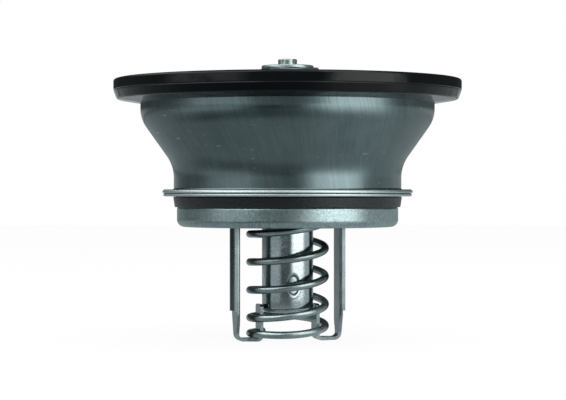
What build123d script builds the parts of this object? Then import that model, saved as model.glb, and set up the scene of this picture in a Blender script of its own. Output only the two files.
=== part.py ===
from build123d import *
import os
from math import cos, radians, sin, tan

# Engine thermostat with its own bowl: millimetres, +Z up along the common axis.
# The origin is on the axis, level with the soles of the cage's feet.

# Overall sizes
total_height = 89.0
rim_radius = 55.0
spigot_radius = 35.0
spigot_height = 36.0

# Drawn sheet of the bowl and the cup
sheet = 1.1
spigot_length = 9.6
spigot_corner = 2.3
lip_width = 8.5
flange_width = 3.6
flange_step = 0.3
flange_root = 0.8
flange_tip_round = 0.35
neck_step = 1.0
neck_length = 7.4
neck_bend = 9.0
mouth_length = 8.4
mouth_bend = 11.0
rim_bend = 1.0

# Rubber ring round the rim
seal_top = 82.8
seal_height = 6.8
seal_width = 8.5
seal_web = 2.5
seal_lower_lip = 2.4
seal_upper_lip_inset = 1.3
seal_taper = 1.1
seal_taper_height = 3.0
seal_round = 0.8

# Rubber ring on the spigot
ring_height = 3.3
ring_gap = 0.1
ring_top_wall = 1.8
ring_bottom_wall = 0.9
ring_round = 0.3
ring_seat_depth = 0.4
ring_seat_slope = 0.8
ring_seat_bend = 1.3

# Seat ring in the neck
fit_gap = 0.05
seat_sheet = 1.1
seat_height = 18.0
seat_skirt = 6.0
seat_bend = 1.6
seat_width = 8.35

# Bridge from the seat ring up to the piston
bridge_sheet = 1.6
bridge_azimuth = 103.5
bridge_hub_half = 9.0
bridge_hub_width = 15.0
bridge_foot_width = 18.0
bridge_foot_length = 5.3
bridge_foot_margin = 1.55
bridge_foot_round = 2.0
bridge_bend = 2.0
bead_rise = 1.3
bead_inset = 6.0
rivet_margin = 3.85
rivet_spread = 9.0
rivet_radius = 1.2
rivet_head_radius = 1.8
rivet_head = 0.9
rivet_head_round = 0.5

# Piston and the washer that it is staked over
piston_radius = 3.0
piston_stand = 2.0
piston_nose = 1.0
piston_end_round = 0.35
shoulder_width = 1.6
shoulder_height = 1.6
cap_radius = 8.25
cap_thickness = 0.9
cap_round = 0.4
stake_count = 6
stake_azimuth = 3.0
stake_width = 0.7
stake_depth = 0.4
stake_height = 1.5

# Wax element
case_radius = 8.1
case_wall = 0.9
case_bottom = 9.0
case_round = 1.6
dimple_count = 4
dimple_azimuth = 13.5
dimple_height = 8.5
dimple_width = 4.3
dimple_tall = 7.2
dimple_depth = 0.7
collar_width = 2.9
collar_round = 1.3
collar_mouth_gap = 1.6
guide_flange = 1.4
stem_wall = 3.0
stem_height = 12.0
stem_chamfer = 0.8
bore_clearance = 0.03
wiper_wall = 1.4
wiper_height = 1.6
wiper_lip = 0.4
sleeve_wall = 1.6
sleeve_flange = 0.9
sleeve_depth = 20.3
sleeve_end = 1.6
sleeve_round = 1.5
piston_end_gap = 0.3
washer_wall = 2.4
washer_height = 0.6

# Spring
wire_radius = 1.175
coil_gap = 1.145
coil_pitch = 9.2
spring_azimuth = 150.0
closed_turn = 110.0
rising_turn = 220.0
points_per_turn = 12
spring_gap = 0.05

# Cage that holds the spring's foot
cage_sheet = 1.0
cage_azimuth = 13.5
cage_ring_margin = 2.4
cage_ring_overhang = 2.0
leg_gap = 2.975
leg_width = 8.4
leg_flange = 0.75
leg_edge_round = 0.8
leg_taper_height = 8.4
leg_nick = 1.0
leg_top_bend = 1.0
knee_height = 2.4
knee_width = 4.5
knee_depth = 3.7
knee_bend = 2.4
foot_wide_length = 0.87
tab_gap = 0.53
tab_height = 11.6
tab_width = 7.0
tab_bend = 1.8
tab_round = 1.2

# Spring plate, valve disc and its rubber edge
slip = 0.1
plate_sheet = 1.0
plate_gap = 1.375
plate_skirt = 2.4
plate_bend = 0.9
disc_sheet = 1.2
disc_overlap = 0.9
disc_rise = 1.4
disc_hub_margin = 2.0
disc_dish_width = 4.0
disc_bend = 2.0
valve_seal_lip = 0.55
valve_seal_foot_wall = 0.7
valve_seal_edge = 1.4
valve_seal_bite = 1.4
valve_seal_round = 0.4
closed_gap = 0.15
push_ring_width = 2.6
push_ring_height = 1.0
push_ring_round = 0.4

# Cup, flanges and bowl, from the spigot's end face up
cup_floor = spigot_height + sheet
flange_foot = spigot_height + spigot_length
flange_joint = flange_foot + sheet
ring_top = flange_foot - ring_gap
ring_foot = ring_top - ring_height
ring_seat_radius = spigot_radius - ring_seat_depth
neck_foot = flange_joint + sheet
neck_radius = spigot_radius + neck_step
flange_radius = neck_radius + flange_width
cone_foot = neck_foot + neck_length
mouth_radius = rim_radius - seal_width
seal_bottom = seal_top - seal_height
rim_flange_z = seal_bottom + seal_lower_lip
rim_flange_radius = rim_radius - seal_web
cone_top = rim_flange_z - mouth_length

# Seat ring, bridge and piston
neck_bore = neck_radius - sheet - fit_gap
seat_opening = neck_bore - seat_width
seat_top = spigot_height + seat_height
seat_underside = seat_top - seat_sheet
bridge_hub_top = total_height - piston_stand - cap_thickness
bridge_hub_underside = bridge_hub_top - bridge_sheet
bridge_foot_top = seat_top + bridge_sheet
bridge_foot_outer = neck_bore - bridge_foot_margin
bridge_foot_inner = bridge_foot_outer - bridge_foot_length
rivet_line = neck_bore - rivet_margin
shoulder_radius = piston_radius + shoulder_width

# Valve, from its closed place under the seat down to the spring's top
valve_seal_top = seat_underside - closed_gap
valve_seal_radius = seat_opening + disc_overlap + valve_seal_edge
disc_radius = seat_opening + disc_overlap
collar_top = valve_seal_top - valve_seal_lip - disc_sheet - disc_rise
disc_top = collar_top + disc_sheet
guide_shoulder = collar_top - case_wall
guide_foot = guide_shoulder - guide_flange
sleeve_foot = guide_foot - sleeve_flange
plate_top = sleeve_foot - case_wall
spring_top = plate_top - plate_sheet
piston_bottom = guide_foot - sleeve_depth
stem_top = collar_top + stem_height
case_bore = case_radius - case_wall
collar_radius = case_radius + collar_width
collar_bore = collar_radius - case_wall
disc_hub_radius = collar_radius + disc_hub_margin
disc_dish_radius = disc_hub_radius + disc_dish_width
piston_bore = piston_radius + bore_clearance
stem_radius = piston_radius + stem_wall
collar_mouth = stem_radius + collar_mouth_gap
wiper_radius = piston_radius + wiper_wall
sleeve_radius = piston_radius + sleeve_wall
washer_radius = piston_radius + washer_wall

# Spring and cage, from the element's case outwards
tab_reach = case_radius + tab_gap
coil_radius = tab_reach + cage_sheet + coil_gap + wire_radius
leg_reach = coil_radius + wire_radius + leg_gap + cage_sheet
plate_radius = coil_radius + wire_radius + plate_gap + plate_sheet
foot_wide_until = tab_reach + cage_sheet + foot_wide_length
foot_narrow_from = leg_reach - knee_depth
cage_ring_outer = spigot_radius - cage_ring_margin
cage_ring_inner = spigot_radius - lip_width - cage_ring_overhang


def sheet_section(corners, bends, thickness):
    """Section of bent sheet that lies to the left of a line through the corners (r, z) of one face."""
    with BuildSketch() as section:
        with BuildLine():
            FilletPolyline(*corners, radius=bends)
            offset(amount=thickness, side=Side.LEFT)
        make_face()
    return section.sketch


def radial_plane(azimuth):
    """Upright plane through the axis: its x runs outwards at the azimuth and its y runs up."""
    angle = radians(azimuth)
    return Plane(origin=(0, 0, 0), x_dir=(cos(angle), sin(angle), 0), z_dir=(sin(angle), -cos(angle), 0))


def level_plane(azimuth, height):
    """Level plane at the height: its x runs outwards at the azimuth."""
    angle = radians(azimuth)
    return Plane(origin=(0, 0, height), x_dir=(cos(angle), sin(angle), 0), z_dir=(0, 0, 1))


def facing_plane(azimuth, radius):
    """Upright plane that faces outwards at the azimuth, this far from the axis: its y runs up."""
    angle = radians(azimuth)
    outwards = Vector(cos(angle), sin(angle), 0)
    return Plane(origin=outwards * radius, x_dir=(-sin(angle), cos(angle), 0), z_dir=outwards)


# Bowl: drawn neck, cone and mouth, with a flange at the waist and another inside the rim rubber
with BuildPart() as bowl:
    with BuildSketch(Plane.XZ) as bowl_section:
        add(
            sheet_section(
                [
                    (flange_radius, neck_foot),
                    (neck_radius, neck_foot),
                    (neck_radius, cone_foot),
                    (mouth_radius, cone_top),
                    (mouth_radius, rim_flange_z),
                    (rim_flange_radius, rim_flange_z),
                ],
                [flange_root, neck_bend, mouth_bend, rim_bend],
                sheet,
            )
        )
        tip = bowl_section.vertices().group_by(Axis.Y)[1].sort_by(Axis.X)[-1]
        fillet(tip, flange_tip_round)
    revolve(axis=Axis.Z)

# Rim rubber: moulded over the bowl's flange, with its outer face drawn in towards the bottom
with BuildPart() as rim_seal:
    with BuildSketch(Plane.XZ) as rim_section:
        with BuildLine():
            Polyline(
                (mouth_radius, seal_bottom),
                (rim_radius - seal_taper, seal_bottom),
                (rim_radius, seal_bottom + seal_taper_height),
                (rim_radius, seal_top),
                (mouth_radius + seal_upper_lip_inset, seal_top),
                (mouth_radius + seal_upper_lip_inset, rim_flange_z + sheet / 2),
                (mouth_radius, rim_flange_z + sheet / 2),
                close=True,
            )
        make_face()
        fillet(rim_section.vertices().sort_by(Axis.X)[-3:], seal_round)
        fillet(rim_section.vertices().group_by(Axis.Y)[-1].sort_by(Axis.X)[0], seal_round)
    revolve(axis=Axis.Z)
    add(bowl.part, mode=Mode.SUBTRACT)

# Spigot cup: lip and wall of the part that enters the engine's bore, and a flange welded under the bowl's.
# The wall is drawn in a little where the rubber ring sits.
with BuildPart() as spigot_cup:
    with BuildSketch(Plane.XZ) as cup_section:
        add(
            sheet_section(
                [
                    (spigot_radius - lip_width, spigot_height),
                    (spigot_radius, spigot_height),
                    (spigot_radius, ring_foot - ring_seat_slope / 2),
                    (ring_seat_radius, ring_foot + ring_seat_slope / 2),
                    (ring_seat_radius, flange_foot),
                    (flange_radius - flange_step, flange_foot),
                ],
                [spigot_corner, ring_seat_bend, ring_seat_bend, flange_root],
                sheet,
            )
        )
        tip = cup_section.vertices().sort_by(Axis.X)[-2:].sort_by(Axis.Y)[0]
        fillet(tip, flange_tip_round)
    revolve(axis=Axis.Z)

# Rubber ring that seals the spigot in its bore, thinner at the bottom for a lead
with BuildPart() as spigot_seal:
    with BuildSketch(Plane.XZ) as ring_section:
        with BuildLine():
            Polyline(
                (ring_seat_radius - sheet / 2, ring_foot),
                (spigot_radius + ring_bottom_wall, ring_foot),
                (spigot_radius + ring_top_wall, ring_top),
                (ring_seat_radius - sheet / 2, ring_top),
                close=True,
            )
        make_face()
        fillet(ring_section.vertices().sort_by(Axis.X)[-2:], ring_round)
    revolve(axis=Axis.Z)
    add(spigot_cup.part, mode=Mode.SUBTRACT)

# Seat ring: a skirt welded in the neck, with a flange that the valve closes against
with BuildPart() as seat_ring:
    with BuildSketch(Plane.XZ):
        add(
            sheet_section(
                [(neck_bore, seat_top - seat_skirt), (neck_bore, seat_top), (seat_opening, seat_top)],
                [seat_bend],
                seat_sheet,
            )
        )
    revolve(axis=Axis.Z)
    with BuildSketch(level_plane(bridge_azimuth, seat_underside)):
        with GridLocations(2 * rivet_line, rivet_spread, 2, 2):
            Circle(rivet_radius + fit_gap)
    extrude(amount=seat_sheet, mode=Mode.SUBTRACT)

# Bridge: one strap bent over the bowl's axis, wider at its feet, with a pressed bead up each arm
with BuildPart() as bridge:
    with BuildSketch(radial_plane(bridge_azimuth)):
        add(
            sheet_section(
                [
                    (bridge_foot_outer, bridge_foot_top),
                    (bridge_foot_inner, bridge_foot_top),
                    (bridge_hub_half, bridge_hub_top),
                    (-bridge_hub_half, bridge_hub_top),
                    (-bridge_foot_inner, bridge_foot_top),
                    (-bridge_foot_outer, bridge_foot_top),
                ],
                [bridge_bend, bridge_bend + bridge_sheet, bridge_bend + bridge_sheet, bridge_bend],
                bridge_sheet,
            )
        )
    extrude(amount=bridge_foot_width / 2, both=True)
    with BuildSketch(level_plane(bridge_azimuth, 0)) as bridge_outline:
        Polygon(
            (bridge_foot_outer, bridge_foot_width / 2),
            (0, bridge_hub_width / 2),
            (-bridge_foot_outer, bridge_foot_width / 2),
            (-bridge_foot_outer, -bridge_foot_width / 2),
            (0, -bridge_hub_width / 2),
            (bridge_foot_outer, -bridge_foot_width / 2),
        )
        fillet(bridge_outline.vertices().group_by(Axis.X)[0], bridge_foot_round)
        fillet(bridge_outline.vertices().group_by(Axis.X)[-1], bridge_foot_round)
    extrude(amount=total_height, mode=Mode.INTERSECT)
    for azimuth in (bridge_azimuth, bridge_azimuth + 180):
        upright = radial_plane(azimuth)
        arm_top = upright.from_local_coords((bridge_hub_half, bridge_hub_top))
        arm_foot = upright.from_local_coords((bridge_foot_inner, bridge_foot_top))
        down_arm = (arm_foot - arm_top).normalized()
        arm_normal = down_arm.cross(upright.z_dir)
        arm_normal = arm_normal if arm_normal.Z > 0 else -arm_normal
        arm_middle = (arm_top + arm_foot) / 2 - arm_normal * bridge_sheet
        arm_plane = Plane(origin=arm_middle, x_dir=down_arm, z_dir=arm_normal)
        bead_length = (arm_foot - arm_top).length - 2 * bead_inset
        for radius, mode in ((bridge_sheet + bead_rise, Mode.ADD), (bead_rise, Mode.SUBTRACT)):
            bead_ends = bead_length + 2 * radius
            with BuildSketch(arm_plane):
                SlotOverall(bead_ends, 2 * radius)
                Rectangle(bead_ends, radius, align=(Align.CENTER, Align.MAX), mode=Mode.SUBTRACT)
            revolve(axis=Axis(arm_middle, down_arm), revolution_arc=180, mode=mode)
    with BuildSketch(level_plane(bridge_azimuth, seat_top)):
        with GridLocations(2 * rivet_line, rivet_spread, 2, 2):
            Circle(rivet_radius + fit_gap)
    extrude(amount=bridge_sheet, mode=Mode.SUBTRACT)
    with BuildSketch(Plane.XY.offset(bridge_hub_underside)):
        Circle(piston_radius + fit_gap)
    extrude(amount=bridge_sheet, mode=Mode.SUBTRACT)

# Four rivets through the bridge's feet and the seat ring
with BuildPart() as bridge_rivets:
    with BuildSketch(level_plane(bridge_azimuth, seat_underside)):
        with GridLocations(2 * rivet_line, rivet_spread, 2, 2):
            Circle(rivet_radius)
    extrude(amount=seat_sheet + bridge_sheet)
    for head_foot in (seat_underside - rivet_head, bridge_foot_top):
        with BuildSketch(level_plane(bridge_azimuth, head_foot)):
            with GridLocations(2 * rivet_line, rivet_spread, 2, 2):
                Circle(rivet_head_radius)
        extrude(amount=rivet_head)
    head_rims = bridge_rivets.edges().filter_by(GeomType.CIRCLE).group_by(Axis.Z)
    fillet(head_rims[0] + head_rims[-1], rivet_head_round)

# Piston: fixed in the bridge, with a shoulder below it and a staked end above the washer
with BuildPart() as piston:
    with BuildSketch(Plane.XZ) as piston_section:
        with BuildLine():
            Polyline(
                (0, piston_bottom),
                (piston_radius, piston_bottom),
                (piston_radius, bridge_hub_underside - shoulder_height),
                (shoulder_radius, bridge_hub_underside - shoulder_height),
                (shoulder_radius, bridge_hub_underside),
                (piston_radius, bridge_hub_underside),
                (piston_radius, total_height),
                (0, total_height),
                close=True,
            )
        make_face()
        chamfer(piston_section.vertices().group_by(Axis.Y)[0].sort_by(Axis.X)[-1], piston_nose)
        fillet(piston_section.vertices().group_by(Axis.Y)[-1].sort_by(Axis.X)[-1], piston_end_round)
    revolve(axis=Axis.Z)
    with BuildSketch(level_plane(stake_azimuth, total_height)):
        with PolarLocations(piston_radius, stake_count):
            Rectangle(2 * stake_depth, stake_width)
    extrude(amount=-stake_height, mode=Mode.SUBTRACT)

# Washer under the piston's staked end
with BuildPart() as cap_washer:
    with BuildSketch(Plane.XY.offset(bridge_hub_top)):
        Circle(cap_radius)
        Circle(piston_radius + fit_gap, mode=Mode.SUBTRACT)
    extrude(amount=cap_thickness)
    fillet(cap_washer.edges().group_by(Axis.Z)[-1].sort_by(SortBy.RADIUS)[-1], cap_round)


def cage_leg(azimuth):
    """One leg of the cage: arm off the ring, channel strap, tapered knee, foot and upturned tab."""
    with BuildPart() as leg:
        with BuildSketch(radial_plane(azimuth)):
            add(
                sheet_section(
                    [
                        (tab_reach, tab_height),
                        (tab_reach, 0),
                        (leg_reach, 0),
                        (leg_reach, cup_floor),
                        (cage_ring_inner + cage_sheet, cup_floor),
                    ],
                    [tab_bend, knee_bend, leg_top_bend],
                    cage_sheet,
                )
            )
        extrude(amount=leg_width / 2, both=True)
        flange_low = leg_taper_height + leg_nick
        with BuildSketch(level_plane(azimuth, flange_low)):
            for side in (Align.MIN, Align.MAX):
                edge = -leg_width / 2 if side == Align.MIN else leg_width / 2
                with Locations((leg_reach, edge)):
                    Rectangle(leg_flange, cage_sheet, align=(Align.MIN, side))
        extrude(amount=cup_floor - leg_top_bend - flange_low)
        web_face = leg_reach - cage_sheet
        inner_edges = leg.edges().filter_by(Axis.Z).filter_by_position(Axis.Z, cup_floor / 3, cup_floor)
        corner_reach = Vector(web_face, leg_width / 2, 0).length
        inner_edges = inner_edges.filter_by(
            lambda e: abs(Vector(e.center().X, e.center().Y, 0).length - corner_reach) < fit_gap
        )
        fillet(inner_edges, leg_edge_round)
        with BuildSketch(facing_plane(azimuth, foot_narrow_from)):
            for side in (-1, 1):
                Polygon(
                    (side * knee_width / 2, -cage_sheet),
                    (side * knee_width / 2, knee_height),
                    (side * leg_width / 2, leg_taper_height),
                    (side * leg_width, leg_taper_height),
                    (side * leg_width, -cage_sheet),
                    align=None,
                )
        extrude(amount=leg_reach, mode=Mode.SUBTRACT)
        with BuildSketch(level_plane(azimuth, 0)):
            for side in (-1, 1):
                Polygon(
                    (0, side * tab_width / 2),
                    (foot_wide_until, side * tab_width / 2),
                    (foot_narrow_from, side * knee_width / 2),
                    (foot_narrow_from, side * leg_width),
                    (0, side * leg_width),
                    align=None,
                )
        extrude(amount=tab_height + tab_round, mode=Mode.SUBTRACT)
        tab_corners = leg.edges().filter_by(
            lambda e: abs(e.center().Z - tab_height) < fit_gap and abs(e.length - cage_sheet) < fit_gap
        )
        fillet(tab_corners, tab_round)
    return leg.part


# Spring cage: one pressing with a ring welded on the cup's lip and two legs down to the spring's foot
with BuildPart() as spring_cage:
    with BuildSketch(Plane.XY.offset(cup_floor)):
        Circle(cage_ring_outer)
        Circle(cage_ring_inner, mode=Mode.SUBTRACT)
    extrude(amount=cage_sheet)
    add(cage_leg(cage_azimuth))
    add(cage_leg(cage_azimuth + 180))

# Spring: closed at both ends, standing on the cage's feet and pushing up on the spring plate
spring_foot = cage_sheet + spring_gap + wire_radius
spring_slope = coil_pitch / 360
spring_rise = spring_top - spring_gap - wire_radius - spring_foot
steady_turn = spring_rise / spring_slope - rising_turn
spring_turn = 2 * closed_turn + 2 * rising_turn + steady_turn


def spring_point(turned):
    """Centre of the wire after this many degrees: level, gathering pitch, steady, losing pitch, level."""
    gathering = min(max(turned - closed_turn, 0), rising_turn)
    steady = min(max(turned - closed_turn - rising_turn, 0), steady_turn)
    losing = min(max(turned - closed_turn - rising_turn - steady_turn, 0), rising_turn)
    even_turn = gathering**2 / (2 * rising_turn) + steady + losing - losing**2 / (2 * rising_turn)
    angle = radians(spring_azimuth + turned)
    return (coil_radius * cos(angle), coil_radius * sin(angle), spring_foot + spring_slope * even_turn)


with BuildPart() as spring:
    with BuildLine() as coil:
        steps = round(spring_turn * points_per_turn / 360)
        Spline(*[spring_point(spring_turn * step / steps) for step in range(steps + 1)])
    with BuildSketch(Plane(origin=coil.line @ 0, z_dir=coil.line % 0)):
        Circle(wire_radius)
    sweep(path=coil.line)


def dimple_cutter(extra):
    """Egg shape that presses one dimple: extra grows it by the wall for the case's inner face."""
    chord_drop = case_radius - (case_radius**2 - (dimple_width / 2) ** 2) ** 0.5
    press = dimple_depth - chord_drop
    egg_radius = (press**2 + (dimple_width / 2) ** 2) / (2 * press)
    egg_reach = case_radius - dimple_depth + egg_radius
    share = (egg_radius - dimple_depth) / egg_radius
    egg_tall = dimple_tall / 2 / (1 - share**2) ** 0.5
    with BuildPart() as egg:
        with BuildSketch(Plane.XZ):
            Ellipse(egg_radius + extra, egg_tall + extra)
            Rectangle(
                2 * egg_radius + extra,
                3 * egg_tall,
                align=(Align.MAX, Align.CENTER),
                mode=Mode.SUBTRACT,
            )
        revolve(axis=Axis.Z)
    return egg.part, egg_reach


# Room inside the element's case: wax space, collar and mouth
with BuildPart() as case_room:
    with BuildSketch(Plane.XZ) as room_section:
        with BuildLine():
            Polyline(
                (0, case_bottom + case_wall),
                (case_bore, case_bottom + case_wall),
                (case_bore, sleeve_foot),
                (collar_bore, sleeve_foot),
                (collar_bore, guide_shoulder),
                (collar_mouth, guide_shoulder),
                (collar_mouth, collar_top),
                (0, collar_top),
                close=True,
            )
        make_face()
        fillet(room_section.vertices().group_by(Axis.Y)[0].sort_by(Axis.X)[-1], case_round - case_wall)
    revolve(axis=Axis.Z)
    bulge, bulge_reach = dimple_cutter(case_wall)
    with Locations(Plane.XY.offset(case_bottom + dimple_height)):
        with PolarLocations(bulge_reach, dimple_count, start_angle=dimple_azimuth):
            add(bulge, mode=Mode.SUBTRACT)

# Element case: deep-drawn, with pressed dimples and a head folded over the guide's flange
with BuildPart() as element_case:
    with BuildSketch(Plane.XZ) as case_section:
        with BuildLine():
            Polyline(
                (0, case_bottom),
                (case_radius, case_bottom),
                (case_radius, plate_top),
                (collar_radius, plate_top),
                (collar_radius, collar_top),
                (0, collar_top),
                close=True,
            )
        make_face()
        fillet(case_section.vertices().group_by(Axis.Y)[0].sort_by(Axis.X)[-1], case_round)
        fillet(case_section.vertices().group_by(Axis.X)[-1], collar_round)
    revolve(axis=Axis.Z)
    dimple, dimple_reach = dimple_cutter(0)
    with Locations(Plane.XY.offset(case_bottom + dimple_height)):
        with PolarLocations(dimple_reach, dimple_count, start_angle=dimple_azimuth):
            add(dimple, mode=Mode.SUBTRACT)
    add(case_room.part, mode=Mode.SUBTRACT)

# Rubber sleeve that the wax squeezes against the piston, with its flange under the guide
with BuildPart() as rubber_sleeve:
    with BuildSketch(Plane.XZ) as sleeve_section:
        sleeve_bottom = piston_bottom - piston_end_gap - sleeve_end
        with BuildLine():
            Polyline(
                (0, sleeve_bottom),
                (sleeve_radius, sleeve_bottom),
                (sleeve_radius, sleeve_foot),
                (collar_bore, sleeve_foot),
                (collar_bore, guide_foot),
                (piston_bore, guide_foot),
                (piston_bore, sleeve_bottom + sleeve_end),
                (0, sleeve_bottom + sleeve_end),
                close=True,
            )
        make_face()
        fillet(sleeve_section.vertices().group_by(Axis.Y)[0].sort_by(Axis.X)[-1], sleeve_round)
    revolve(axis=Axis.Z)

# Wax charge: fills the case round and below the sleeve
with BuildPart() as wax_charge:
    add(case_room.part)
    split(bisect_by=Plane.XY.offset(sleeve_foot), keep=Keep.BOTTOM)
    add(rubber_sleeve.part, mode=Mode.SUBTRACT)
    with BuildSketch(Plane.XY.offset(sleeve_bottom + sleeve_end)):
        Circle(piston_bore)
    extrude(amount=stem_top, mode=Mode.SUBTRACT)

# Hard washer between the sleeve's mouth and the guide
with BuildPart() as backup_washer:
    with BuildSketch(Plane.XY.offset(guide_foot)):
        Circle(washer_radius)
        Circle(piston_bore, mode=Mode.SUBTRACT)
    extrude(amount=washer_height)

# Turned guide: flange clamped in the case's head, stem up round the piston
with BuildPart() as element_guide:
    with BuildSketch(Plane.XZ) as guide_section:
        with BuildLine():
            Polyline(
                (washer_radius, guide_foot),
                (collar_bore, guide_foot),
                (collar_bore, guide_shoulder),
                (stem_radius, guide_shoulder),
                (stem_radius, stem_top),
                (wiper_radius, stem_top),
                (wiper_radius, stem_top - wiper_height),
                (piston_bore, stem_top - wiper_height),
                (piston_bore, guide_foot + washer_height),
                (washer_radius, guide_foot + washer_height),
                close=True,
            )
        make_face()
        chamfer(guide_section.vertices().group_by(Axis.Y)[-1].sort_by(Axis.X)[-1], stem_chamfer)
    revolve(axis=Axis.Z)

# Rubber wiper in the guide's end, with a small lip up the piston
with BuildPart() as guide_wiper:
    with BuildSketch(Plane.XZ):
        with BuildLine():
            Polyline(
                (piston_bore, stem_top - wiper_height),
                (wiper_radius, stem_top - wiper_height),
                (wiper_radius, stem_top),
                (piston_bore + wiper_lip, stem_top + wiper_lip),
                (piston_bore, stem_top + wiper_lip),
                close=True,
            )
        make_face()
    revolve(axis=Axis.Z)

# Spring plate: washer under the element's head, with a skirt that centres the spring
with BuildPart() as spring_plate:
    with BuildSketch(Plane.XZ):
        add(
            sheet_section(
                [
                    (case_radius + slip, spring_top),
                    (plate_radius - plate_sheet, spring_top),
                    (plate_radius - plate_sheet, spring_top - plate_skirt),
                ],
                [plate_bend],
                plate_sheet,
            )
        )
    revolve(axis=Axis.Z)

# Valve disc: dished plate on the element's head
with BuildPart() as valve_disc:
    with BuildSketch(Plane.XZ):
        add(
            sheet_section(
                [
                    (stem_radius + slip, collar_top),
                    (disc_hub_radius, collar_top),
                    (disc_dish_radius, collar_top + disc_rise),
                    (disc_radius, collar_top + disc_rise),
                ],
                [disc_bend, disc_bend + disc_sheet],
                disc_sheet,
            )
        )
    revolve(axis=Axis.Z)

# Rubber edge of the valve disc, which closes under the seat ring
with BuildPart() as valve_seal:
    with BuildSketch(Plane.XZ) as valve_seal_section:
        valve_seal_foot = collar_top + disc_rise - valve_seal_foot_wall
        with BuildLine():
            Polyline(
                (disc_radius - valve_seal_bite, valve_seal_foot),
                (valve_seal_radius, valve_seal_foot),
                (valve_seal_radius, valve_seal_top),
                (disc_radius - valve_seal_bite, valve_seal_top),
                close=True,
            )
        make_face()
        fillet(valve_seal_section.vertices(), valve_seal_round)
    revolve(axis=Axis.Z)
    add(valve_disc.part, mode=Mode.SUBTRACT)

# Push-on ring that holds the valve disc down on the element's head
with BuildPart() as retaining_ring:
    with BuildSketch(Plane.XY.offset(disc_top)):
        Circle(stem_radius + push_ring_width)
        Circle(stem_radius, mode=Mode.SUBTRACT)
    extrude(amount=push_ring_height)
    fillet(retaining_ring.edges().group_by(Axis.Z)[-1].sort_by(SortBy.RADIUS)[-1], push_ring_round)

pieces = {
    "bowl": bowl,
    "rim_seal": rim_seal,
    "spigot_cup": spigot_cup,
    "spigot_seal": spigot_seal,
    "seat_ring": seat_ring,
    "bridge": bridge,
    "bridge_rivets": bridge_rivets,
    "piston": piston,
    "cap_washer": cap_washer,
    "spring_cage": spring_cage,
    "spring": spring,
    "element_case": element_case,
    "wax_charge": wax_charge,
    "rubber_sleeve": rubber_sleeve,
    "backup_washer": backup_washer,
    "element_guide": element_guide,
    "guide_wiper": guide_wiper,
    "spring_plate": spring_plate,
    "valve_disc": valve_disc,
    "valve_seal": valve_seal,
    "retaining_ring": retaining_ring,
}
os.makedirs("parts", exist_ok=True)
for name, piece in pieces.items():
    piece.part.label = name
    export_step(piece.part, f"parts/{name}.step")
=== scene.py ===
from math import atan2, ceil, pi, radians, sqrt, tan

import bpy
import numpy as np
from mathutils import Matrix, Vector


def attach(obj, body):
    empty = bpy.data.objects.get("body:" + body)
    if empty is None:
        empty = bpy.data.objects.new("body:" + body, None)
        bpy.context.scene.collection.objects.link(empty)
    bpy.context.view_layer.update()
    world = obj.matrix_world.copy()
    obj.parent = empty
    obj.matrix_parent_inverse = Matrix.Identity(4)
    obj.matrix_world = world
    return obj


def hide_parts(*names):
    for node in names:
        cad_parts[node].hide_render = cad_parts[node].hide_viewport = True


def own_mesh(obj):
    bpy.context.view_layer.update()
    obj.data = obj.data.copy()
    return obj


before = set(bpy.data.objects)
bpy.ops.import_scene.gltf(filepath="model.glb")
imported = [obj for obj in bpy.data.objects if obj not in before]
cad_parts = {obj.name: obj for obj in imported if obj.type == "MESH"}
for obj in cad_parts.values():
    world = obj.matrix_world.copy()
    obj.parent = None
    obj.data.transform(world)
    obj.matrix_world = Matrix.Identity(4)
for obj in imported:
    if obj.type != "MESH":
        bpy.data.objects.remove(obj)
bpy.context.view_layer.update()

# Camera
# Level, at the height of the spigot's flange, about 0.6 m from the axis, as in a catalogue picture.
# The axis stands a little right of the picture's middle, so the lens is shifted by those few pixels.
picture_wide = 566
picture_high = 400
lens_pixels = 1925
axis_pixel = 287.55
eye_pixel = 190
eye_height = 0.0476
camera_distance = 0.610
sensor_width = 36
camera_data = bpy.data.cameras.new("camera")
camera_data.sensor_width = sensor_width
camera_data.lens = sensor_width * lens_pixels / picture_wide
camera_data.shift_x = (picture_wide / 2 - axis_pixel) / picture_wide
camera_data.shift_y = (eye_pixel - picture_high / 2) / picture_wide
camera_data.clip_start = 0.01
camera = bpy.data.objects.new("camera", camera_data)
camera.location = (0, -camera_distance, eye_height)
camera.rotation_euler = (pi / 2, 0, 0)
bpy.context.scene.collection.objects.link(camera)
bpy.context.scene.camera = camera
bpy.context.scene.view_settings.view_transform = "Standard"

# Bowl
# The thermostat's own housing above the waist, drawn from 1.1 mm sheet steel and left as it came from the press.
# Its waist flange is welded on the cup's, and its rim flange lies inside the moulded rubber.
sheet = 1.1
edge_round = 0.15
flange_edge_round = 0.85
flange_bend = 0.4
neck_bend = 12.0
mouth_bend = 10.0
rim_bend = 1.0
flange_radius = 39.6
neck_radius = 36.0
neck_foot = 47.8
cone_foot = 55.2
mouth_radius = 46.5
cone_top = 70.0
rim_flange = 78.4
rim_flange_radius = 52.5
facets_round = 288


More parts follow.
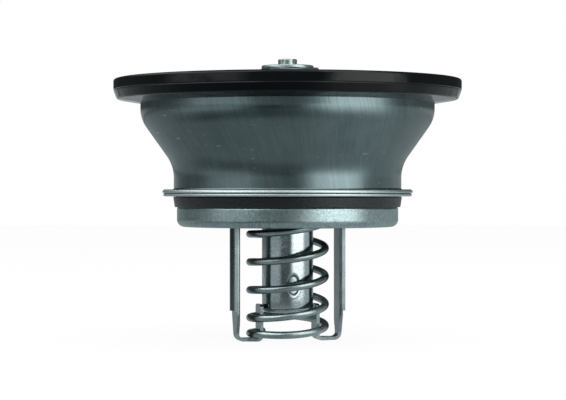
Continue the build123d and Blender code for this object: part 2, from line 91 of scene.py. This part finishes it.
def rounded_loop(corners, radii):
    """Closed profile (r, z): each corner is cut by an arc, centre + radius * (cos, sin) of an evenly stepped angle."""
    corners = np.array(corners, float)
    arc_step = radians(10)
    arcs = []
    for before, corner, after, radius in zip(np.roll(corners, 1, 0), corners, np.roll(corners, -1, 0), radii):
        way_in = (corner - before) / np.linalg.norm(corner - before)
        way_out = (after - corner) / np.linalg.norm(after - corner)
        turn = atan2(way_in[0] * way_out[1] - way_in[1] * way_out[0], way_in @ way_out)
        if radius == 0 or turn == 0:
            arcs.append(corner[None, :])
            continue
        side = np.array([-way_in[1], way_in[0]]) * np.sign(turn)
        centre = corner - way_in * radius * tan(abs(turn) / 2) + side * radius
        angle = np.linspace(0, turn, max(2, ceil(abs(turn) * sqrt(radius) / arc_step)) + 1)
        spoke = -side * radius
        arcs.append(centre + np.c_[spoke[0] * np.cos(angle) - spoke[1] * np.sin(angle),
                                   spoke[0] * np.sin(angle) + spoke[1] * np.cos(angle)])
    return np.concatenate(arcs)


def sheet_loop(corners, bends, thickness, tips):
    """Closed profile of bent sheet: one face through the corners, the cut edge, and the other face to its left.

    Tips are the radii of the four corners of its two cut edges."""
    line = np.array(corners, float)
    runs = np.diff(line, axis=0)
    runs /= np.linalg.norm(runs, axis=1)[:, None]
    left = np.c_[-runs[:, 1], runs[:, 0]]
    mitre = (left[:-1] + left[1:]) / (1 + np.sum(left[:-1] * left[1:], axis=1))[:, None]
    other = line + np.concatenate([left[:1], mitre, left[-1:]]) * thickness
    turn = np.sign(runs[:-1, 0] * runs[1:, 1] - runs[:-1, 1] * runs[1:, 0])
    sharpest = 0.1
    other_bends = np.maximum(np.array(bends) - turn * thickness, sharpest)
    radii = [tips[0], *bends, tips[1], tips[2], *other_bends[::-1], tips[3]]
    return rounded_loop(np.concatenate([line, other[::-1]]), radii)


def turned(profile, facets=facets_round):
    """Grid of points round the axis: at share u of the profile and angle v it is (r(u) cos v, r(u) sin v, z(u))."""
    angle = np.arange(facets) * 2 * pi / facets
    flat = np.ones(facets)
    return np.stack(
        [np.outer(np.cos(angle), profile[:, 0]), np.outer(np.sin(angle), profile[:, 0]), np.outer(flat, profile[:, 1])],
        axis=-1,
    )


def skin(name, grid, finish, along=True, across=True):
    """Mesh over a grid of points in millimetres: each quad joins a point to its next ones along and across."""
    rows, columns = grid.shape[:2]
    row = np.arange(rows if along else rows - 1)[:, None]
    column = np.arange(columns if across else columns - 1)[None, :]
    next_row = (row + 1) % rows
    next_column = (column + 1) % columns
    quads = np.stack(
        [row * columns + column, next_row * columns + column,
         next_row * columns + next_column, row * columns + next_column],
        axis=-1,
    )
    mesh = bpy.data.meshes.new(name)
    mesh.from_pydata((grid.reshape(-1, 3) * 0.001).tolist(), [], quads.reshape(-1, 4).tolist())
    mesh.materials.append(finish)
    mesh.shade_smooth()
    piece = bpy.data.objects.new(name, mesh)
    bpy.context.scene.collection.objects.link(piece)
    weld = piece.modifiers.new("closed_poles", "WELD")
    weld.merge_threshold = 1e-7
    even = piece.modifiers.new("even_shading", "WEIGHTED_NORMAL")
    even.weight = 50
    return piece


def node(tree, kind, inputs=None, **settings):
    """A shader node with its settings, and with inputs given as numbers or as the sockets that feed them."""
    made = tree.nodes.new("ShaderNode" + kind)
    for name, value in settings.items():
        setattr(made, name, value)
    for name, value in (inputs or {}).items():
        if isinstance(value, bpy.types.NodeSocket):
            tree.links.new(value, made.inputs[name])
        else:
            made.inputs[name].default_value = value
    return made


def effect(name, inputs, outputs):
    """An empty node group with float inputs and outputs, for an effect that several materials share."""
    group = bpy.data.node_groups.new(name, "ShaderNodeTree")
    for label, value in inputs.items():
        group.interface.new_socket(name=label, in_out="INPUT", socket_type="NodeSocketFloat").default_value = value
    for label in outputs:
        group.interface.new_socket(name=label, in_out="OUTPUT", socket_type="NodeSocketFloat")
    return group, group.nodes.new("NodeGroupInput"), group.nodes.new("NodeGroupOutput")


def spread(tree, value, low, high, to_low, to_high):
    """The value moved from one range to another and held inside it."""
    return node(
        tree, "MapRange", {"Value": value, "From Min": low, "From Max": high, "To Min": to_low, "To Max": to_high}
    ).outputs[0]


def off_axis(group, place):
    """The height of a place, and the flat vector to it from the axis."""
    apart = node(group, "SeparateXYZ", {0: place})
    flat = node(group, "CombineXYZ", {0: apart.outputs[0], 1: apart.outputs[1]})
    return apart.outputs[2], flat.outputs[0]


def wrapped(group, spoke, cells_round, height, cells_up):
    """Place for noise on a round wall: spoke * cells round + height * cells up, with a spoke one long."""
    wide = node(group, "VectorMath", {0: spoke, "Scale": cells_round}, operation="SCALE")
    climb = node(group, "Math", {0: height, 1: cells_up}, operation="MULTIPLY")
    upright = node(group, "CombineXYZ", {2: climb.outputs[0]})
    return node(group, "VectorMath", {0: wide.outputs[0], 1: upright.outputs[0]}, operation="ADD").outputs[0]


def draw_marks_group():
    """Marks of the press: streaks run up the wall and turn by slant radians a metre, and clouds are plain noise.

    Scratches are the few peaks of a noise that is stretched round the piece."""
    scratch_cells_round = 9.0
    scratch_cells_up = 1700.0
    scratch_start = 0.74
    scratch_full = 0.80
    cloud_cells = 75.0
    group, given, result = effect(
        "draw_marks",
        {"Cells Round": 60.0, "Cells Up": 60.0, "Slant": 0.0, "Detail": 3.0},
        ["Streaks", "Clouds", "Scratches"],
    )
    place = node(group, "TexCoord").outputs["Object"]
    height, flat = off_axis(group, place)
    spoke = node(group, "VectorMath", {0: flat}, operation="NORMALIZE").outputs[0]
    upright_marks = wrapped(group, spoke, given.outputs["Cells Round"], height, given.outputs["Cells Up"])
    turn = node(group, "Math", {0: height, 1: given.outputs["Slant"]}, operation="MULTIPLY")
    slanted_marks = node(
        group, "VectorRotate", {"Vector": upright_marks, "Angle": turn.outputs[0]}, rotation_type="Z_AXIS"
    )
    streaks = node(
        group, "TexNoise",
        {"Vector": slanted_marks.outputs[0], "Scale": 1.0, "Detail": given.outputs["Detail"], "Roughness": 0.62},
    )
    clouds = node(group, "TexNoise", {"Vector": place, "Scale": cloud_cells, "Detail": 5.0, "Roughness": 0.6})
    level_marks = wrapped(group, spoke, scratch_cells_round, height, scratch_cells_up)
    peaks = node(group, "TexNoise", {"Vector": level_marks, "Scale": 1.0, "Detail": 1.0})
    scratches = spread(group, peaks.outputs["Fac"], scratch_start, scratch_full, 0.0, 1.0)
    group.links.new(streaks.outputs["Fac"], result.inputs["Streaks"])
    group.links.new(clouds.outputs["Fac"], result.inputs["Clouds"])
    group.links.new(scratches, result.inputs["Scratches"])
    return group


draw_marks = draw_marks_group()


def cut_edge_group():
    """One where the distance from the axis is past Reach and the height lies within Half of Level, in metres."""
    cut_band = 0.4
    group, given, result = effect(
        "cut_edge",
        {"Reach": (flange_radius - cut_band) * 0.001, "Level": (neck_foot - sheet) * 0.001, "Half": 0.002},
        ["Mask"],
    )
    height, flat = off_axis(group, node(group, "TexCoord").outputs["Object"])
    radius = node(group, "VectorMath", {0: flat}, operation="LENGTH")
    past = node(group, "Math", {0: radius.outputs["Value"], 1: given.outputs["Reach"]}, operation="GREATER_THAN")
    near = node(
        group, "Math", {0: height, 1: given.outputs["Level"], 2: given.outputs["Half"]}, operation="COMPARE"
    )
    both = node(group, "Math", {0: past.outputs[0], 1: near.outputs[0]}, operation="MULTIPLY")
    group.links.new(both.outputs[0], result.inputs["Mask"])
    return group


cut_edge = cut_edge_group()
fresh_metal = (0.50, 0.56, 0.56)
fresh_roughness = 0.45
scratch_strength = 0.6


def pressed_metal(name, dark, light, gloss, marks, streak_depth, cloud_depth, streak_share=0.5, sheared=False):
    """Bare metal: streaks and clouds move its colour from dark to light, and clouds its roughness over the gloss range.

    Scratches are paler. Sheared metal is paler and rougher on the cut edge of its flange."""
    material = bpy.data.materials.new(name)
    material.use_nodes = True
    tree = material.node_tree
    shader = tree.nodes["Principled BSDF"]
    shader.inputs["Metallic"].default_value = 1.0
    press = tree.nodes.new("ShaderNodeGroup")
    press.node_tree = draw_marks
    for label, value in marks.items():
        press.inputs[label].default_value = value
    streaks = press.outputs["Streaks"]
    clouds = press.outputs["Clouds"]
    share = node(tree, "Mix", {0: streak_share, 2: clouds, 3: streaks}, data_type="FLOAT")
    tone = spread(tree, share.outputs[0], 0.36, 0.64, 0.0, 1.0)
    colour = node(tree, "Mix", {0: tone, 6: (*dark, 1), 7: (*light, 1)}, data_type="RGBA")
    scratched = node(tree, "Math", {0: press.outputs["Scratches"], 1: scratch_strength}, operation="MULTIPLY")
    colour = node(tree, "Mix", {0: scratched.outputs[0], 6: colour.outputs[2], 7: (*fresh_metal, 1)}, data_type="RGBA")
    rough = spread(tree, clouds, 0.35, 0.65, *gloss)
    if sheared:
        edge = tree.nodes.new("ShaderNodeGroup")
        edge.node_tree = cut_edge
        mask = edge.outputs["Mask"]
        colour = node(tree, "Mix", {0: mask, 6: colour.outputs[2], 7: (*fresh_metal, 1)}, data_type="RGBA")
        rough = node(tree, "Mix", {0: mask, 2: rough, 3: fresh_roughness}, data_type="FLOAT").outputs[0]
    tree.links.new(colour.outputs[2], shader.inputs["Base Color"])
    tree.links.new(rough, shader.inputs["Roughness"])
    bump = node(tree, "Bump", {"Height": streaks, "Distance": streak_depth * 0.001})
    bump = node(tree, "Bump", {"Height": clouds, "Distance": cloud_depth * 0.001, "Normal": bump.outputs[0]})
    tree.links.new(bump.outputs[0], shader.inputs["Normal"])
    return material


steel = pressed_metal(
    "drawn_steel", dark=(0.110, 0.146, 0.152), light=(0.168, 0.216, 0.221), gloss=(0.22, 0.30),
    marks={"Cells Round": 95.0, "Cells Up": 90.0, "Slant": 5.0, "Detail": 5.0},
    streak_depth=0.003, cloud_depth=0.012, sheared=True,
)
bowl = skin(
    "pressed_bowl",
    turned(sheet_loop(
        [(flange_radius, neck_foot), (neck_radius, neck_foot), (neck_radius, cone_foot), (mouth_radius, cone_top),
         (mouth_radius, rim_flange), (rim_flange_radius, rim_flange)],
        [flange_bend, neck_bend, mouth_bend, rim_bend], sheet,
        (flange_edge_round, edge_round, edge_round, edge_round),
    )),
    steel,
)
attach(bowl, "housing")
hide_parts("bowl")

# Rim rubber
# A glossy black ring moulded round the bowl's rim flange, which a cover clamps in the engine's counterbore.
# Its outer face is drawn in towards the bottom, its underside is deeper next to the metal, and the mould's
# parting line runs round it.
rim_radius = 55.0
rim_bottom = 76.2
rim_inner_bottom = 75.0
rim_top = 82.5
rim_round = 0.8
rim_lip_inset = 1.3
mould_draft = 1.1
parting = 79.0
parting_step = 0.2
parting_flare = 0.12
parting_rise = 0.25


def rubber(name, colour, gloss, level, grain, grain_depth, wave_depth):
    """Moulded rubber: fine grain and slow waves in its skin, with a roughness that wanders over the gloss range.

    Level is how strongly it mirrors, grain is in cells a metre, and the depths are in millimetres."""
    wave_cells = 90.0
    grain_contrast = 0.3
    deep = [shade * (1 - grain_contrast) for shade in colour]
    worn = [shade * (1 + grain_contrast) for shade in colour]
    material = bpy.data.materials.new(name)
    material.use_nodes = True
    tree = material.node_tree
    shader = tree.nodes["Principled BSDF"]
    shader.inputs["Specular IOR Level"].default_value = level
    place = node(tree, "TexCoord").outputs["Object"]
    fine = node(tree, "TexNoise", {"Vector": place, "Scale": grain, "Detail": 3.0, "Roughness": 0.6})
    slow = node(tree, "TexNoise", {"Vector": place, "Scale": wave_cells, "Detail": 2.0, "Roughness": 0.5})
    tone = node(tree, "Mix", {0: fine.outputs["Fac"], 6: (*deep, 1), 7: (*worn, 1)}, data_type="RGBA")
    tree.links.new(tone.outputs[2], shader.inputs["Base Color"])
    tree.links.new(spread(tree, slow.outputs["Fac"], 0.3, 0.7, *gloss), shader.inputs["Roughness"])
    bump = node(tree, "Bump", {"Height": slow.outputs["Fac"], "Distance": wave_depth * 0.001})
    bump = node(
        tree, "Bump",
        {"Height": fine.outputs["Fac"], "Distance": grain_depth * 0.001, "Normal": bump.outputs[0]},
    )
    tree.links.new(bump.outputs[0], shader.inputs["Normal"])
    return material


gloss_rubber = rubber(
    "gloss_rubber", colour=(0.0010, 0.0022, 0.0030), gloss=(0.06, 0.14), level=0.24,
    grain=2500.0, grain_depth=0.002, wave_depth=0.45,
)
rim_seal = skin(
    "moulded_rim",
    turned(rounded_loop(
        [(mouth_radius, rim_inner_bottom), (rim_radius - mould_draft, rim_bottom),
         (rim_radius - parting_flare, parting - parting_step), (rim_radius - parting_step, parting),
         (rim_radius, parting + parting_rise), (rim_radius, rim_top),
         (mouth_radius + rim_lip_inset, rim_top), (mouth_radius + rim_lip_inset, rim_flange + sheet),
         (rim_flange_radius, rim_flange + sheet), (rim_flange_radius, rim_flange), (mouth_radius, rim_flange)],
        [0.2, rim_round, 0.05, 0.02, 0.05, rim_round, rim_round, 0.1, 0.1, 0.1, 0.1],
    )),
    gloss_rubber,
)
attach(rim_seal, "housing")
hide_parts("rim_seal")

# Spigot cup
# The drawn cup that enters the engine's bore, of the same sheet as the bowl, with an open floor for the valve.
# Its flange is welded under the bowl's, and its wall is drawn in a little where the rubber ring sits.
spigot_radius = 35.0
spigot_floor = 36.0
cup_flange = 45.6
cup_flange_step = 0.3
seal_seat_radius = 34.6
seat_slope_foot = 41.8
seat_slope_top = 42.6
lip_radius = 26.5
# Painted light: this is the bowl's steel in a paler copy, made lighter to stand in for the brighter light that falls on
# the cup. Its fine brushed streaks are the metal's own grain.
lit_cup_steel = pressed_metal(
    "lit_cup_steel", dark=(0.205, 0.27, 0.275), light=(0.40, 0.485, 0.49), gloss=(0.24, 0.34),
    marks={"Cells Round": 50.0, "Cells Up": 1800.0, "Detail": 4.0},
    streak_depth=0.020, cloud_depth=0.012, streak_share=0.75, sheared=True,
)
cup = skin(
    "spigot_wall",
    turned(sheet_loop(
        [(lip_radius, spigot_floor), (spigot_radius, spigot_floor), (spigot_radius, seat_slope_foot),
         (seal_seat_radius, seat_slope_top), (seal_seat_radius, cup_flange),
         (flange_radius - cup_flange_step, cup_flange)],
        [2.3, 1.3, 1.3, 0.8], sheet, (edge_round, 0.4, 0.6, edge_round),
    )),
    lit_cup_steel,
)
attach(cup, "housing")
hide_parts("spigot_cup")

# Spigot rubber
# A dull black ring stretched on the cup under its flange, thinner at the bottom as a lead into the bore.
# Its skin is rough and dusty where the rim's is glossy.
ring_foot = 42.2
ring_top = 45.5
ring_foot_reach = 0.7
ring_top_reach = 1.2
dull_rubber = rubber(
    "dull_rubber", colour=(0.006, 0.009, 0.011), gloss=(0.24, 0.40), level=0.5,
    grain=1700.0, grain_depth=0.16, wave_depth=0.05,
)
spigot_seal = skin(
    "spigot_ring",
    turned(rounded_loop(
        [(seal_seat_radius, ring_foot), (spigot_radius + ring_foot_reach, ring_foot),
         (spigot_radius + ring_top_reach, ring_top), (seal_seat_radius, ring_top)],
        [0.1, 0.3, 0.3, 0.1],
    )),
    dull_rubber,
)
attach(spigot_seal, "housing")
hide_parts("spigot_seal")

# Spring
# Hard-drawn round wire, coiled with closed ends, standing on the cage's feet and pushing up on the spring plate.
# Only the two feet carry it, so its free coils lean down to the front. The real spring shortens as the valve opens, but
# this mesh keeps one length.
wire_radius = 1.175
coil_radius = 11.95
spring_foot = 2.225
spring_rise = 41.05
coil_pitch = 8.85
end_pitch = 5.0
spring_azimuth = 130.0
closed_turn = 20.0
end_turn = 390.0
easing_turn = 60.0
spring_lean = 1.1
leaning_turn = 150.0
coil_points = 460
wire_facets = 24
wire_end_round = 0.15
# Away from each end the pitch rises in two eased steps, after these turns in degrees and by these slopes.
pitch_steps = ((closed_turn, end_pitch / 360), (end_turn, (coil_pitch - end_pitch) / 360))
lost_turns = sum((2 * start + easing_turn) * slope for start, slope in pitch_steps)
spring_turn = (spring_rise + lost_turns) / (coil_pitch / 360)


def eased(since):
    """Turn gained since a pitch step: none before it, since**2 / (2 * easing) over the easing, then one for one."""
    return np.clip(since, 0, easing_turn) ** 2 / (2 * easing_turn) + np.maximum(since - easing_turn, 0)


def settled(since):
    """Share of the lean this far past an end: t**2 * (3 - 2 * t) of the share t of the leaning turn."""
    share = np.clip(since / leaning_turn, 0, 1)
    return share**2 * (3 - 2 * share)


turned_by = np.linspace(0, spring_turn, coil_points)
coil_rise = sum(
    slope * (eased(turned_by - start) - eased(turned_by + start + easing_turn - spring_turn))
    for start, slope in pitch_steps
)
coil_lean = spring_lean * settled(turned_by - closed_turn) * settled(spring_turn - closed_turn - turned_by)
coil_angle = np.radians(spring_azimuth + turned_by)
coil_line = np.c_[coil_radius * np.cos(coil_angle), coil_radius * np.sin(coil_angle),
                  spring_foot + coil_rise + coil_lean * np.sin(coil_angle)]


def wire(line, radius):
    """Round wire: at share u of the line and angle v it is line(u) + radius * (cos v * out + sin v * over).

    The ends close in two small steps to a point."""
    way = np.gradient(line, axis=0)
    way /= np.linalg.norm(way, axis=1)[:, None]
    out = np.c_[line[:, :2], np.zeros(len(line))]
    out -= way * np.sum(out * way, axis=1)[:, None]
    out /= np.linalg.norm(out, axis=1)[:, None]
    over = np.cross(way, out)
    angle = np.arange(wire_facets) * 2 * pi / wire_facets
    ring = np.cos(angle)[None, :, None] * out[:, None, :] + np.sin(angle)[None, :, None] * over[:, None, :]
    body = line[:, None, :] + radius * ring
    starts = [line[0] + ring[0] * reach for reach in (0, radius - wire_end_round)]
    ends = [line[-1] + ring[-1] * reach for reach in (radius - wire_end_round, 0)]
    body[0] += way[0] * wire_end_round
    body[-1] -= way[-1] * wire_end_round
    return np.concatenate([starts, body, ends])


spring_wire = pressed_metal(
    "spring_wire", dark=(0.22, 0.27, 0.275), light=(0.40, 0.465, 0.465), gloss=(0.20, 0.34),
    marks={"Cells Round": 40.0, "Cells Up": 900.0, "Detail": 4.0}, streak_depth=0.006, cloud_depth=0.02,
)
spring = skin("coil_spring", wire(coil_line, wire_radius), spring_wire, along=False)
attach(spring, "housing")
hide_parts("spring")
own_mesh(spring)

# Element case
# A deep-drawn brass case, plated bright, that holds the wax: four dimples are pressed in its wall, and its head is
# folded over the guide's flange.
case_radius = 8.1
case_wall = 0.9
case_bottom = 9.0
collar_foot = 45.5
collar_radius = 11.0
collar_top = 49.6
collar_mouth = 7.6
case_facets = 320
dimpled_foot = 13.0
dimpled_top = 22.0
dimpled_rows = 72
dimple_depth = 0.2
dimple_wall = 0.3
dimple_lip = 0.02
lip_middle = 1.12
lip_half = 0.1
dimple_height = 17.9
dimple_half_width = 2.15
dimple_half_tall = 3.6
dimple_azimuth = 13.5
dimple_count = 4


def straight(start, end, points):
    """Evenly stepped points from start to end, both left out."""
    share = np.linspace(0, 1, points + 2)[1:-1, None]
    return np.array(start) + share * (np.array(end) - np.array(start))


# A dimple is an oval: with d its distance from the middle, one at its edge, it is pressed in by the smooth step
# t**2 * (3 - 2 * t) of t = (1 - d) / wall, and a lip exp(-((d - middle) / half)**2) stands up round it.
case_corners = rounded_loop(
    [(0, case_bottom), (case_radius, case_bottom), (case_radius, collar_foot), (collar_radius, collar_foot),
     (collar_radius, collar_top), (collar_mouth, collar_top), (collar_mouth, collar_top - case_wall),
     (collar_radius - case_wall, collar_top - case_wall), (collar_radius - case_wall, collar_foot + case_wall),
     (case_radius - case_wall, collar_foot + case_wall),
     (case_radius - case_wall, case_bottom + case_wall), (0, case_bottom + case_wall)],
    [0, 1.6, 0.25, 0.6, 1.3, 0.15, 0.15, 0.1, 0.1, 0.1, 0.7, 0],
)
wall_start = int(np.argmax(np.isclose(case_corners[:, 0], case_radius)))
wall_rows = straight((case_radius, dimpled_foot), (case_radius, dimpled_top), dimpled_rows)
case_profile = np.insert(case_corners, wall_start + 1, wall_rows, axis=0)
case_grid = turned(case_profile, case_facets)
case_angle = np.arange(case_facets) * 2 * pi / case_facets
nearest = (case_angle - radians(dimple_azimuth) + pi / dimple_count) % (2 * pi / dimple_count) - pi / dimple_count
from_dimple = np.hypot(
    nearest[:, None] * case_radius / dimple_half_width,
    (case_profile[None, :, 1] - dimple_height) / dimple_half_tall,
)
on_wall = np.isclose(case_profile[:, 0], case_radius)
slope = np.clip((1 - from_dimple) / dimple_wall, 0, 1)
lip = dimple_lip * np.exp(-(((from_dimple - lip_middle) / lip_half) ** 2))
pressed_in = slope**2 * (3 - 2 * slope) * dimple_depth - lip
case_grid[..., :2] *= 1 - (pressed_in * on_wall / case_radius)[..., None]
case_metal = pressed_metal(
    "case_metal", dark=(0.31, 0.37, 0.385), light=(0.54, 0.60, 0.61), gloss=(0.10, 0.20),
    marks={"Cells Round": 16.0, "Cells Up": 1500.0, "Detail": 4.0}, streak_depth=0.012, cloud_depth=0.12,
)
element_case = skin("wax_case", case_grid, case_metal, across=False)
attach(element_case, "valve")
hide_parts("element_case")

# Cage, bridge, discs and the small fixings
# Steel strap and sheet that is stamped and riveted, turned brass, and moulded rubber and plastic, pressed or
# crimped in place. They keep the frame's own shapes and get their finish here.
strap_steel = pressed_metal(
    "strap_steel", dark=(0.20, 0.245, 0.255), light=(0.33, 0.385, 0.395), gloss=(0.24, 0.36),
    marks={"Cells Round": 30.0, "Cells Up": 300.0, "Detail": 3.0}, streak_depth=0.004, cloud_depth=0.02,
)
bright_steel = pressed_metal(
    "bright_steel", dark=(0.35, 0.40, 0.40), light=(0.45, 0.50, 0.50), gloss=(0.30, 0.42),
    marks={"Cells Round": 12.0, "Cells Up": 300.0, "Detail": 3.0}, streak_depth=0.006, cloud_depth=0.02,
)
case_brass = pressed_metal(
    "case_brass", dark=(0.52, 0.40, 0.20), light=(0.68, 0.54, 0.30), gloss=(0.18, 0.30),
    marks={"Cells Round": 10.0, "Cells Up": 300.0, "Detail": 3.0}, streak_depth=0.004, cloud_depth=0.02,
)
wax = rubber(
    "wax_fill", colour=(0.42, 0.33, 0.22), gloss=(0.45, 0.6), level=0.5,
    grain=600.0, grain_depth=0.01, wave_depth=0.02,
)
white_plastic = rubber(
    "white_plastic", colour=(0.75, 0.75, 0.72), gloss=(0.3, 0.4), level=0.5,
    grain=600.0, grain_depth=0.002, wave_depth=0.01,
)
finishes = {
    "seat_ring": steel,
    "bridge": strap_steel,
    "bridge_rivets": bright_steel,
    "piston": bright_steel,
    "cap_washer": bright_steel,
    "spring_cage": strap_steel,
    "wax_charge": wax,
    "rubber_sleeve": dull_rubber,
    "backup_washer": white_plastic,
    "element_guide": case_brass,
    "guide_wiper": dull_rubber,
    "spring_plate": steel,
    "valve_disc": steel,
    "valve_seal": dull_rubber,
    "retaining_ring": bright_steel,
}
for name, finish in finishes.items():
    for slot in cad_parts[name].material_slots:
        slot.material = finish

# Studio
# The camera sees a pale floor and a white world, and a large lamp overhead lights the piece at a plain level.
# Metal and rubber mirror a grey curtain round the piece, with soft boxes right and left and a bright band high up,
# and a grey table under it. Only reflections see these cards.
studio = bpy.data.worlds.new("studio")
bpy.context.scene.world = studio
studio.use_nodes = True
studio.node_tree.nodes["Background"].inputs["Color"].default_value = (1, 1, 1, 1)


def seen_ray(tree):
    """One for the rays that show the white background: those of the camera, of reflections and through glass."""
    ray = node(tree, "LightPath")
    seen = node(
        tree, "Math", {0: ray.outputs["Is Camera Ray"], 1: ray.outputs["Is Glossy Ray"]}, operation="MAXIMUM"
    )
    return node(
        tree, "Math", {0: seen.outputs[0], 1: ray.outputs["Is Transmission Ray"]}, operation="MAXIMUM"
    ).outputs[0]


studio.node_tree.links.new(
    spread(studio.node_tree, seen_ray(studio.node_tree), 0, 1, 0.4, 1.0),
    studio.node_tree.nodes["Background"].inputs["Strength"],
)


def plain_mesh(name, points, faces, material):
    """A mesh object from a list of points and faces."""
    mesh = bpy.data.meshes.new(name)
    mesh.from_pydata([tuple(p) for p in points], [], [tuple(f) for f in faces])
    mesh.materials.append(material)
    piece = bpy.data.objects.new(name, mesh)
    bpy.context.scene.collection.objects.link(piece)
    return piece


card_glow = bpy.data.materials.new("card_glow")
card_glow.use_nodes = True
card_tree = card_glow.node_tree
card_tree.nodes.clear()
card_level = node(card_tree, "Attribute", attribute_name="light", attribute_type="GEOMETRY")
card_warmth = spread(card_tree, card_level.outputs["Fac"], 0.3, 2.0, 0.0, 1.0)
card_colour = node(
    card_tree, "Mix", {0: card_warmth, 6: (0.90, 1.0, 1.03, 1), 7: (0.97, 1.0, 1.0, 1)}, data_type="RGBA"
)
card_light = node(
    card_tree, "Emission", {"Color": card_colour.outputs[2], "Strength": card_level.outputs["Fac"]}
)
node(card_tree, "OutputMaterial", {"Surface": card_light.outputs[0]})


def card(name, grid, light):
    """Studio card over a grid of points in metres, which gives off this light at each point to reflections only."""
    rows, columns = light.shape
    corner = np.arange(rows * columns).reshape(rows, columns)
    faces = np.stack([corner[:-1, :-1], corner[1:, :-1], corner[1:, 1:], corner[:-1, 1:]], axis=-1).reshape(-1, 4)
    piece = plain_mesh(name, grid.reshape(-1, 3).tolist(), faces.tolist(), card_glow)
    piece.data.attributes.new("light", "FLOAT", "POINT").data.foreach_set("value", light.ravel())
    piece.visible_camera = False
    piece.visible_shadow = False
    piece.visible_diffuse = False


def hump(value, middle, half):
    """Light across a value with soft ends: exp(-((value - middle) / half)**6)."""
    return np.exp(-(((value - middle) / half) ** 6))


# Bearings are in degrees from the camera, with plus to its right, and heights and reaches are in metres.
curtain_radius = 0.72
curtain_height = 1.1
bearing, height = np.meshgrid(np.linspace(-180, 180, 181), np.linspace(0, curtain_height, 45), indexing="ij")
curtain_grid = np.stack(
    [curtain_radius * np.sin(np.radians(bearing)), -curtain_radius * np.cos(np.radians(bearing)), height], axis=-1
)
raised = np.clip((height - 0.05) / 0.06, 0, 1)
higher = np.clip((height - 0.08) / 0.06, 0, 1)
dim_room = 0.05 + 0.20 * hump(bearing, 0, 118)
right_box = 2.4 * hump(bearing, 47 + 6 * raised, 30 - 6 * raised) * hump(height, 0.10, 0.27)
left_box = (0.14 + 1.10 * higher) * hump(bearing, -54, 26) * hump(height, 0.16, 0.20)
front_glow = 0.3 * hump(bearing, -20, 22) * hump(height, 0.065, 0.035)
front_shade = -0.2 * hump(bearing, -9, 24) * hump(height, 0, 0.025)
rim_light = 0.6 * (1 - hump(bearing, 0, 148)) * hump(height, 0.055, 0.034)
side_glow = 0.45 * hump(bearing, 100, 45) * hump(height, 0, 0.08)
high_band = 3.2 * hump(height, 0.70, 0.34) * (1 - 0.75 * hump(bearing, 0, 22)) * hump(bearing, -25, 97)
curtain_light = dim_room + right_box + left_box + front_glow + front_shade + rim_light + side_glow + high_band
card("curtain", curtain_grid, curtain_light)

table_level = -0.0001
reach, turn = np.meshgrid(np.linspace(0, curtain_radius, 73), np.linspace(-180, 180, 91), indexing="ij")
table_grid = np.stack(
    [reach * np.sin(np.radians(turn)), -reach * np.cos(np.radians(turn)), np.full(reach.shape, table_level)], axis=-1
)
far = np.clip((reach - 0.14) / 0.2, 0, 1)
beyond = np.clip((reach - 0.26) / 0.1, 0, 1)
table_glow = 0.15 * hump(turn, 75, 60) + far * (1.35 * hump(turn, 50, 28) + 0.35 * hump(turn, -60, 28))
table_shade = -0.26 * hump(reach, 0.19, 0.09) * hump(turn, -30, 60) - 0.43 * beyond * hump(turn, -9, 25)
table_light = 0.43 + table_glow + table_shade
card("table", table_grid, table_light)

ceiling_half = 0.7
ceiling_height = 1.0
steps = np.linspace(-ceiling_half, ceiling_half, 57)
across, ahead = np.meshgrid(steps, steps, indexing="ij")
ceiling_grid = np.stack([across, ahead, np.full(across.shape, ceiling_height)], axis=-1)
card("ceiling", ceiling_grid, np.full(across.shape, 0.3))

floor_half = 2.0
floor_level = -0.0002
floor_material = bpy.data.materials.new("floor_white")
floor_material.use_nodes = True
floor_tree = floor_material.node_tree
floor_tree.nodes.clear()
floor_light = node(floor_tree, "Emission", {"Strength": 1.05})
floor_matt = node(floor_tree, "BsdfDiffuse", {"Color": (0.8, 0.8, 0.8, 1)})
floor_share = node(floor_tree, "Math", {0: seen_ray(floor_tree), 1: 0.9}, operation="MULTIPLY")
floor_mix = node(
    floor_tree, "MixShader", {0: floor_share.outputs[0], 1: floor_matt.outputs[0], 2: floor_light.outputs[0]}
)
node(floor_tree, "OutputMaterial", {"Surface": floor_mix.outputs[0]})
floor = plain_mesh(
    "floor",
    [(-floor_half, -floor_half, floor_level), (floor_half, -floor_half, floor_level),
     (floor_half, floor_half, floor_level), (-floor_half, floor_half, floor_level)],
    [(0, 1, 2, 3)],
    floor_material,
)

lamp_place = (0.1, -0.25, 0.95)
lamp_target = (0, 0, 0.05)
lamp_data = bpy.data.lights.new("lamp_above", "AREA")
lamp_data.size = 1.2
lamp_data.energy = 6.0
lamp = bpy.data.objects.new("lamp_above", lamp_data)
lamp.location = lamp_place
lamp.rotation_euler = (Vector(lamp_target) - Vector(lamp_place)).to_track_quat("-Z", "Y").to_euler()
bpy.context.scene.collection.objects.link(lamp)
